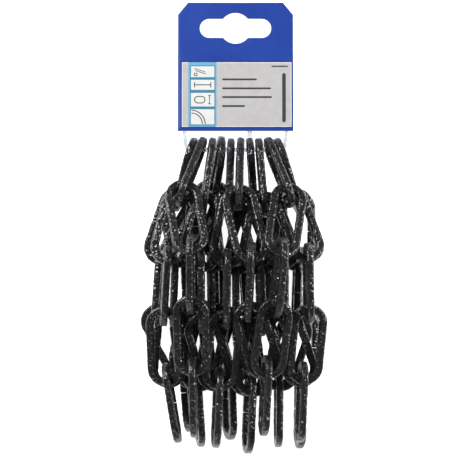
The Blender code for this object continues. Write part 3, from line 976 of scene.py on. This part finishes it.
@dataclass
class HeaderCard:
    """The printed board with its cut corners and its hanging slot."""

    plane: CardPlane
    chamfer: tuple = (4.5, 5.6)
    slot_half: float = 16.0
    slot_radius: float = 4.35
    bulge_radius: float = 7.0
    slot_below_top: float = 11.9
    edge_round: float = 0.16
    edge_points: int = 4
    face_rings: int = 7
    rays: int = 360
    sharp: float = 60.0
    finish: CoatedCard = field(default_factory=CoatedCard)

    def outer_corners(self) -> np.ndarray:
        """The board's corners.

        Returns:
            A row (x, y) for each, anticlockwise from its lower left one.
        """
        half, top = self.plane.width / 2, self.plane.height
        cut_x, cut_y = self.chamfer
        return np.array([
            (-half, 0), (half, 0), (half, top - cut_y),
            (half - cut_x, top), (cut_x - half, top), (-half, top - cut_y),
        ])

    def slot_centre(self) -> np.ndarray:
        """The middle of the hanging slot."""
        return np.array([0.0, self.plane.height - self.slot_below_top])

    def outer_reach(self, rays: np.ndarray) -> np.ndarray:
        """How far the board's edge is from the slot's middle along each ray.

        For each side of the outline, with an outward normal n at a distance c, a ray d meets its
        line at c over the product of n and d. The nearest such line is the edge.

        Args:
            rays: Unit directions (x, y).

        Returns:
            A distance for each ray.
        """
        corners = self.outer_corners() - self.slot_centre()
        side = np.roll(corners, -1, 0) - corners
        normal = np.stack([side[:, 1], -side[:, 0]], -1) / np.linalg.norm(side, axis=1)[:, None]
        distance = (normal * corners).sum(1)
        slope = rays @ normal.T
        return np.where(slope > TINY, distance / np.maximum(slope, TINY), np.inf).min(1)

    def slot_reach(self, rays: np.ndarray) -> np.ndarray:
        """How far the slot's edge is from its middle along each ray.

        It is the further of the bulge's circle and the bar, which is flat above and below and has
        round ends.

        Args:
            rays: Unit directions (x, y).

        Returns:
            A distance for each ray.
        """
        side, rise = np.abs(rays[:, 0]), np.maximum(np.abs(rays[:, 1]), TINY)
        end = self.slot_half - self.slot_radius
        flat = self.slot_radius / rise
        inside = np.maximum(self.slot_radius**2 - (end * rise) ** 2, 0)
        bar = np.where(flat * side <= end, flat, end * side + np.sqrt(inside))
        return np.maximum(bar, self.bulge_radius)

    def board(self) -> Surface:
        """The board: a closed profile carried round the slot, from the slot's edge to the outline.

        The profile has the face, the two rounded and pale cut edges, and the back. A point's
        distance from the slot's middle is the slot's edge plus a share of the way to the outline,
        plus a small offset for the rounding. The marks are 1 on the cut edges and 0 elsewhere.

        Returns:
            The closed board.
        """
        corners = self.outer_corners() - self.slot_centre()
        even = np.arange(self.rays) / self.rays * FULL_TURN
        angles = np.unique(np.concatenate([even, np.arctan2(*corners.T[::-1]) % FULL_TURN]))
        rays = np.stack([np.cos(angles), np.sin(angles)], -1)
        inner, outer = self.slot_reach(rays), self.outer_reach(rays)
        bend = np.linspace(0, math.pi / 2, self.edge_points)
        off, drop = self.edge_round * (1 - np.cos(bend)), self.edge_round * (1 - np.sin(bend))
        shares = np.linspace(0, 1, self.face_rings + 2)[1:-1]
        thick = self.plane.thick
        face = [(share, 0.0, 0.0, 0.0) for share in shares]
        slot_edge = [(0.0, step, -fall, 1.0) for step, fall in zip(off, drop)]
        outer_edge = [(1.0, -step, -fall, 1.0) for step, fall in zip(off, drop)][::-1]
        lower_outer = [(share, step, -thick - level, mark) for share, step, level, mark in outer_edge[::-1]]
        back = [(share, 0.0, -thick, 0.0) for share in shares[::-1]]
        lower_slot = [(share, step, -thick - level, mark) for share, step, level, mark in slot_edge[::-1]]
        profile = np.array(slot_edge + face + outer_edge + lower_outer + back + lower_slot)
        # Where the face meets its two rounded edges it keeps the print's colour
        profile[[len(bend) - 1, len(bend) + len(face)], 3] = 0.0
        share, offset, level, mark = profile.T
        reach = inner[:, None] + (outer - inner)[:, None] * share + offset
        flat = self.slot_centre() + rays[:, None] * reach[..., None]
        height = np.broadcast_to(level[None, :, None], (*reach.shape, 1))
        points = np.concatenate([flat, height], -1).reshape(-1, 3)
        quads = grid_quads(len(angles), len(profile), True, True)[:, ::-1]
        return Surface(points, quads, np.empty((0, 3), int), np.tile(mark, len(angles)))

    def build(self) -> None:
        """Makes the board and dresses it."""
        surface = self.board().moved(self.plane.origin, self.plane.axes)
        piece = make_piece("header_board", surface, self.finish.material(), self.sharp)
        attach(piece, "root")
        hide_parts("header_card")


class Ink(Enum):
    """The label's colours."""

    WHITE = ("label_white", (0.70, 0.70, 0.69))
    SILVER = ("label_silver", (0.470, 0.458, 0.455))
    SKY = ("label_sky", (0.130, 0.400, 0.610))
    TEAL = ("label_teal", (0.040, 0.200, 0.310))
    SHADE = ("label_shade", (0.010, 0.028, 0.170))
    GREY = ("label_grey", (0.040, 0.040, 0.044))


class Layer(IntEnum):
    """The label's layers of print, counted from the board. The rules share the strip's layer."""

    BORDER = 1
    PANEL = 2
    FIELD = 3
    STRIP = 4
    COLUMN = 5
    BOX = 6
    SIGN = 7
    SIGN_HOLE = 8


@dataclass
class Label:
    """The label's print: a pale panel, a strip with four boxes of plain signs, and ruled lines.

    Places are steps across and up the card from the middle of its lower edge. A box is its left,
    lower, right and upper side.
    """

    plane: CardPlane
    film: float = 0.03
    outline_points: int = 40
    panel: tuple = (-24.1, 1.9, 25.2, 31.5)
    border: tuple = (0.5, 0.5, 0.35, 0.75)
    border_corner: float = 0.2
    margin: float = 0.35
    soft_corner: float = 0.1
    strip: tuple = (-21.2, -8.5)
    boxes: tuple = ((24.6, 29.6), (18.8, 23.4), (11.2, 17.4), (3.0, 9.9))
    box_sides: tuple = (-20.05, -9.5)
    box_line: float = 0.42
    column_corner: float = 0.25
    sign_line: float = 0.42
    fine_line: float = 0.34
    bar_ends: tuple = ((1.6, -1.0), (6.4, -2.6))
    bar_width: tuple = (0.35, -0.95)
    square: tuple = (1.3, 0.5, 2.9, 2.0)
    square_wall: float = 0.35
    square_corner: float = 0.15
    length_inset: float = 1.6
    length_tick: float = 1.2
    oval_half: tuple = (1.5, 2.35)
    oval_from_left: float = 4.0
    height_from_right: float = 2.2
    height_inset: float = 1.2
    height_tick: float = 0.6
    rod_radii: tuple = (4.9, 6.2)
    rod_inset: float = 0.25
    stroke_points: int = 9
    oval_points: int = 32
    arc_points: int = 17
    rule_levels: tuple = (23.6, 19.5, 15.5, 11.4)
    rule_lengths: tuple = (15.6, 22.0, 22.4, 10.2)
    rule_start: float = -6.0
    rule_half: float = 0.42
    rule_corner: float = 0.3
    short_rule: tuple = (-9.0, -2.2, -1.6, -1.6)
    short_corner: float = 0.2
    upright_sides: tuple = (-4.2, -2.6)
    upright_ends: tuple = (2.1, -5.0)
    upright_corner: float = 0.5
    sharp: float = 12.0

    def __post_init__(self) -> None:
        """Starts with no print."""
        self.prints: dict[Ink, list[Surface]] = {ink: [] for ink in Ink}

    def block(self, ink: Ink, box: tuple, layer: Layer, radius: float = 0.05) -> None:
        """Prints a rectangle with round corners.

        Args:
            ink: Its colour.
            box: Its sides.
            layer: The layer of print that it is.
            radius: The radius of its corners.
        """
        left, low, right, high = box
        size = ((right - left) / 2, (high - low) / 2, radius)
        length = box_length(*size)
        even = np.linspace(0, length, self.outline_points + 1)[:-1]
        run = np.unique(np.concatenate([even, self.corner_runs(*size)]) % length)
        outline = rounded_box(run, *size)[0] + ((left + right) / 2, (low + high) / 2)
        under, over = self.film * (layer - 1), self.film * layer
        self.prints[ink].append(prism(outline, under, over, self.film * EDGE_SHARE))

    @staticmethod
    def corner_runs(half_x: float, half_y: float, radius: float) -> np.ndarray:
        """Where the sides and corners of a rounded box meet.

        Args:
            half_x: Half the box's width.
            half_y: Half its height.
            radius: Radius of its corners.

        Returns:
            Distances along its outline, from the middle of its right side.
        """
        arc = math.pi / 2 * radius
        side_x, side_y = 2 * (half_x - radius), 2 * (half_y - radius)
        return np.cumsum([side_y / 2, arc, side_x, arc, side_y, arc, side_x, arc])

    @staticmethod
    def grown(box: tuple, by: tuple) -> tuple:
        """A box with its left, lower, right and upper side each moved outwards."""
        return (box[0] - by[0], box[1] - by[1], box[2] + by[2], box[3] + by[3])

    @staticmethod
    def evenly(distance: float) -> tuple:
        """The same distance for all four sides."""
        return (distance, distance, distance, distance)

    def line(self, route: np.ndarray, weight: float, closed: bool = False) -> None:
        """Prints a grey line of a sign along a route.

        Args:
            route: Points (x, y) that it follows.
            weight: Its width.
            closed: Whether it returns to its start.
        """
        under, over = self.film * (Layer.SIGN - 1), self.film * Layer.SIGN
        half = weight / 2
        section = np.array([(half, under), (half, over), (-half, over), (-half, under)])
        self.prints[Ink.GREY].append(swept(route, section, closed))

    def stroke(self, start: tuple, end: tuple, weight: float) -> None:
        """Prints a straight grey line of a sign from one point to another."""
        self.line(np.linspace(start, end, self.stroke_points), weight)

    def frame_panel(self) -> None:
        """Prints the pale panel with its margin, the darker line round it, and the strip."""
        inside = self.grown(self.panel, self.evenly(-self.margin))
        left, right = self.strip
        self.block(Ink.SHADE, self.grown(self.panel, self.border), Layer.BORDER, self.border_corner)
        self.block(Ink.WHITE, self.panel, Layer.PANEL, self.soft_corner)
        self.block(Ink.SILVER, inside, Layer.FIELD, self.soft_corner)
        self.block(Ink.SKY, (left, self.panel[1], right, self.panel[3]), Layer.STRIP)

    def frame_boxes(self) -> None:
        """Prints a teal column on the strip, and the four white boxes on it."""
        left, right = self.box_sides
        column = (left, self.boxes[-1][0], right, self.boxes[0][1])
        column = self.grown(column, self.evenly(self.box_line))
        self.block(Ink.TEAL, column, Layer.COLUMN, self.column_corner)
        for low, high in self.boxes:
            self.block(Ink.WHITE, (left, low, right, high), Layer.BOX, self.soft_corner)

    def signs(self) -> None:
        """Prints a plain sign in each box: a bar and its section, a length, a link, a bent rod."""
        left, right = self.box_sides
        shapes = (self.bar_sign, self.length_sign, self.link_sign, self.rod_sign)
        for shape, (low, high) in zip(shapes, self.boxes):
            shape((left, low, right, high))

    def bar_sign(self, box: tuple) -> None:
        """Prints a slanting bar, and its hollow square section below.

        Args:
            box: The sign's box.
        """
        left, low, _, high = box
        ends = np.array(self.bar_ends) + (left, high)
        for shift in ((0.0, 0.0), self.bar_width):
            self.stroke(*(ends + shift), self.fine_line)
        square = tuple(np.array(self.square) + (left, low, left, low))
        hole = self.grown(square, self.evenly(-self.square_wall))
        self.block(Ink.GREY, square, Layer.SIGN, self.square_corner)
        self.block(Ink.WHITE, hole, Layer.SIGN_HOLE, self.soft_corner)

    def length_sign(self, box: tuple) -> None:
        """Prints a level line between two ticks.

        Args:
            box: The sign's box.
        """
        left, low, right, high = box
        start, end, middle = left + self.length_inset, right - self.length_inset, (low + high) / 2
        self.stroke((start, middle), (end, middle), self.sign_line)
        for x in (start, end):
            self.stroke((x, middle - self.length_tick), (x, middle + self.length_tick), self.sign_line)

    def link_sign(self, box: tuple) -> None:
        """Prints an oval link that lies on its side, and a height between two ticks.

        Args:
            box: The sign's box.
        """
        left, low, right, high = box
        size = (*self.oval_half, self.oval_half[0])
        run = np.linspace(0, box_length(*size), self.oval_points + 1)[:-1]
        oval = rounded_box(run, *size)[0][:, ::-1] * (1, -1)
        self.line(oval + (left + self.oval_from_left, (low + high) / 2), self.sign_line, True)
        middle, tick = right - self.height_from_right, self.height_tick
        levels = (low + self.height_inset, high - self.height_inset)
        self.stroke((middle, levels[0]), (middle, levels[1]), self.fine_line)
        for level in levels:
            self.stroke((middle - tick, level), (middle + tick, level), self.fine_line)

    def rod_sign(self, box: tuple) -> None:
        """Prints a bent rod as two arcs round the box's lower left corner.

        Args:
            box: The sign's box.
        """
        angles = np.linspace(0.0, math.pi / 2, self.arc_points)
        arc = np.stack([np.cos(angles), np.sin(angles)], -1)
        for radius in self.rod_radii:
            self.line(arc * radius + (box[0] + self.rod_inset, box[1] + self.rod_inset), self.sign_line)

    def rules(self) -> None:
        """Prints plain ruled lines on the panel, and an upright bar near its right side."""
        start, half = self.rule_start, self.rule_half
        for level, length in zip(self.rule_levels, self.rule_lengths):
            rule = (start, level - half, start + length, level + half)
            self.block(Ink.GREY, rule, Layer.STRIP, self.rule_corner)
        _, low, right, high = self.panel
        short = tuple(np.array(self.short_rule) + (right, high, right, high))
        self.block(Ink.GREY, short, Layer.STRIP, self.short_corner)
        (left_side, right_side), (below, above) = self.upright_sides, self.upright_ends
        upright = (right + left_side, low + below, right + right_side, high + above)
        self.block(Ink.GREY, upright, Layer.STRIP, self.upright_corner)

    def build(self) -> None:
        """Prints the label, one piece for each ink."""
        self.frame_panel()
        self.frame_boxes()
        self.signs()
        self.rules()
        for ink, surfaces in self.prints.items():
            name, colour = ink.value
            surface = Surface.joined(surfaces).moved(self.plane.origin, self.plane.axes)
            piece = make_piece(name, surface, LabelInk(f"{name}_ink", colour).material(), self.sharp)
            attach(piece, "root")


@dataclass
class HangerLoop:
    """The clear plastic loop that carries the chain, and the strap's end below the card."""

    plane: CardPlane
    wire: float = 1.8
    flat: float = 1.5
    section_corner: float = 0.5
    section_points: int = 20
    corner: float = 3.0
    spread: float = 1.2
    side_points: int = 13
    bend_points: int = 13
    bar_points: int = 22
    tail_corner: float = 0.2
    tail_hollow: float = 0.45
    hollow_width: float = 0.75
    hollow_power: int = 4
    tail_points: int = 20
    sharp: float = 50.0
    finish: ClearPlastic = field(default_factory=ClearPlastic)

    def section(self, half_wide: float, half_thick: float, radius: float) -> np.ndarray:
        """The strap's section, a rounded box.

        Args:
            half_wide: Half its width.
            half_thick: Half its thickness.
            radius: Radius of its corners.

        Returns:
            Points (sideways, up), from its outer side through its face.
        """
        size = (half_wide, half_thick, radius)
        run = (np.arange(self.section_points) + 0.5) / self.section_points * box_length(*size)
        return rounded_box(run, *size)[0]

    def loop(self, node: bpy.types.Object) -> Surface:
        """The loop: down one side, round two corners, along the bar and up again.

        Args:
            node: The loop's frame node.

        Returns:
            The closed strap.
        """
        low, high = self.plane.box(node)
        middle_x, level = (low[0] + high[0]) / 2, (low[2] + high[2]) / 2
        bar = low[1] + self.wire / 2
        half = (high[0] - low[0]) / 2 - self.wire / 2 - self.spread
        rise = high[1] - bar
        bend = np.linspace(0, math.pi / 2, self.bend_points)
        corner_x = half - self.corner * (1 - np.cos(bend))
        corner_y = self.corner * (1 - np.sin(bend))
        steps = np.linspace(0, 1, self.side_points + 1)[:-1]
        straight_x = half + self.spread * (1 - steps)
        straight_y = rise + (self.corner - rise) * steps
        right = np.stack([np.append(straight_x, corner_x), np.append(straight_y, corner_y)], -1)
        along = np.linspace(corner_x[-1], -corner_x[-1], self.bar_points + 2)[1:-1]
        bottom = np.stack([along, np.zeros_like(along)], -1)
        route = np.concatenate([right, bottom, right[::-1] * (-1, 1)]) + (middle_x, bar)
        strap = self.section(self.wire / 2, self.flat / 2, self.section_corner)
        return swept(route, strap + (0, level), False)

    def tail(self, node: bpy.types.Object) -> Surface:
        """The strap's end: a thin flat band with a thicker rim along both sides.

        The section is thinner by a share that falls, with a power of the distance from the
        middle, from the middle to nothing at the rims.

        Args:
            node: The tail's frame node.

        Returns:
            The closed band.
        """
        low, high = self.plane.box(node)
        middle = (low[0] + high[0]) / 2
        half_wide, half_thick = (high[0] - low[0]) / 2, (high[2] - low[2]) / 2
        section = self.section(half_wide, half_thick, self.tail_corner)
        out = np.abs(section[:, 0]) / (self.hollow_width * half_wide)
        thin = 1 - self.tail_hollow * np.clip(1 - out**self.hollow_power, 0, 1)
        section = section * np.stack([np.ones_like(thin), thin], -1)
        route = np.linspace((middle, high[1]), (middle, low[1]), self.tail_points)
        return swept(route, section + (0, (low[2] + high[2]) / 2), False)

    def build(self, nodes: dict) -> None:
        """Makes the loop and the strap's end, and dresses them.

        Args:
            nodes: The frame's nodes by name.
        """
        plastic = self.finish.material()
        for name, shape in (("hanger_loop", self.loop), ("loop_tail", self.tail)):
            surface = shape(nodes[name]).moved(self.plane.origin, self.plane.axes)
            piece = make_piece(f"clear_{name}", surface, plastic, self.sharp)
            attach(piece, "root")
            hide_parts(name)


# The studio


@dataclass
class Studio:
    """A pale floor, soft lights and a camera that looks straight down on the hank."""

    view_width: float = 211.03
    aim: tuple = (0.74, -3.4)
    aim_height: float = 24.0
    distance: float = 1600.0
    clip: tuple = (50.0, 20000.0)
    floor_size: float = 6000.0
    floor_levels: tuple = (-20.0, -0.02)
    floor_bevel: float = 0.5
    floor_sharp: float = 30.0
    sensor: float = 36.0
    light_aim: tuple = (0.0, 0.0, 20.0)
    world_strength: float = 0.12
    floor_finish: StudioSurface = field(default_factory=StudioSurface)
    lights: dict = field(default_factory=lambda: {
        "key_light": ((-420.0, 400.0, 560.0), 170.0, 5.4),
        "side_light": ((560.0, 120.0, 440.0), 160.0, 3.9),
        "low_light": ((-160.0, -600.0, 460.0), 150.0, 0.9),
    })

    def floor(self) -> None:
        """Lays the floor, a square a hair below the hank."""
        half = self.floor_size / 2
        corners = np.array([(-half, -half), (half, -half), (half, half), (-half, half)], float)
        plate = prism(corners, *self.floor_levels, self.floor_bevel)
        make_piece("studio_floor", plate, self.floor_finish.material(), self.floor_sharp)

    def light(self, name: str, place: tuple, size: float, watts: float) -> None:
        """Hangs a square soft light that faces the hank.

        Args:
            name: The light's name.
            place: Where it hangs, in millimetres.
            size: The length of its sides.
            watts: Its power.
        """
        data = bpy.data.lights.new(name, "AREA")
        data.size = size * MM
        data.energy = watts
        lamp = bpy.data.objects.new(name, data)
        bpy.context.scene.collection.objects.link(lamp)
        lamp.location = [part * MM for part in place]
        lamp.rotation_euler = self.facing(np.subtract(self.light_aim, place))
        LOG.info("%s: %.0f W", name, watts)

    @staticmethod
    def facing(way: np.ndarray) -> tuple:
        """The turn, about X and then Z, that points a light's axis (its -Z) along a direction."""
        tilt = math.atan2(math.hypot(way[0], way[1]), -way[2])
        return (tilt, 0.0, math.atan2(-way[0], way[1]))

    def camera(self) -> None:
        """Sets the camera straight above the hank, with the picture's width across its view."""
        data = bpy.data.cameras.new("camera")
        data.sensor_width = self.sensor
        data.lens = self.sensor * self.distance / self.view_width
        data.clip_start, data.clip_end = (distance * MM for distance in self.clip)
        camera = bpy.data.objects.new("camera", data)
        bpy.context.scene.collection.objects.link(camera)
        camera.location = (self.aim[0] * MM, self.aim[1] * MM, (self.aim_height + self.distance) * MM)
        bpy.context.scene.camera = camera

    def build(self) -> None:
        """Sets up the floor, the lights, the surrounding light and the camera."""
        self.floor()
        for name, (place, size, watts) in self.lights.items():
            self.light(name, place, size, watts)
        world = bpy.data.worlds.new("studio")
        world.use_nodes = True
        background = world.node_tree.nodes["Background"]
        background.inputs["Color"].default_value = (1.0, 1.0, 1.0, 1.0)
        background.inputs["Strength"].default_value = self.world_strength
        bpy.context.scene.world = world
        bpy.context.scene.view_settings.view_transform = "Standard"
        self.camera()


def main() -> None:
    """Builds the chain, the card, its label, the loop and the studio around the fixed frame."""
    logging.basicConfig(level=logging.INFO, format="%(name)s: %(message)s")
    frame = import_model()
    nodes = frame["nodes"]
    Chain().build(nodes)
    plane = CardPlane.of_node(nodes["header_card"])
    HeaderCard(plane).build()
    Label(plane).build()
    HangerLoop(plane).build(nodes)
    Studio().build()


if __name__ == "__main__":
    main()
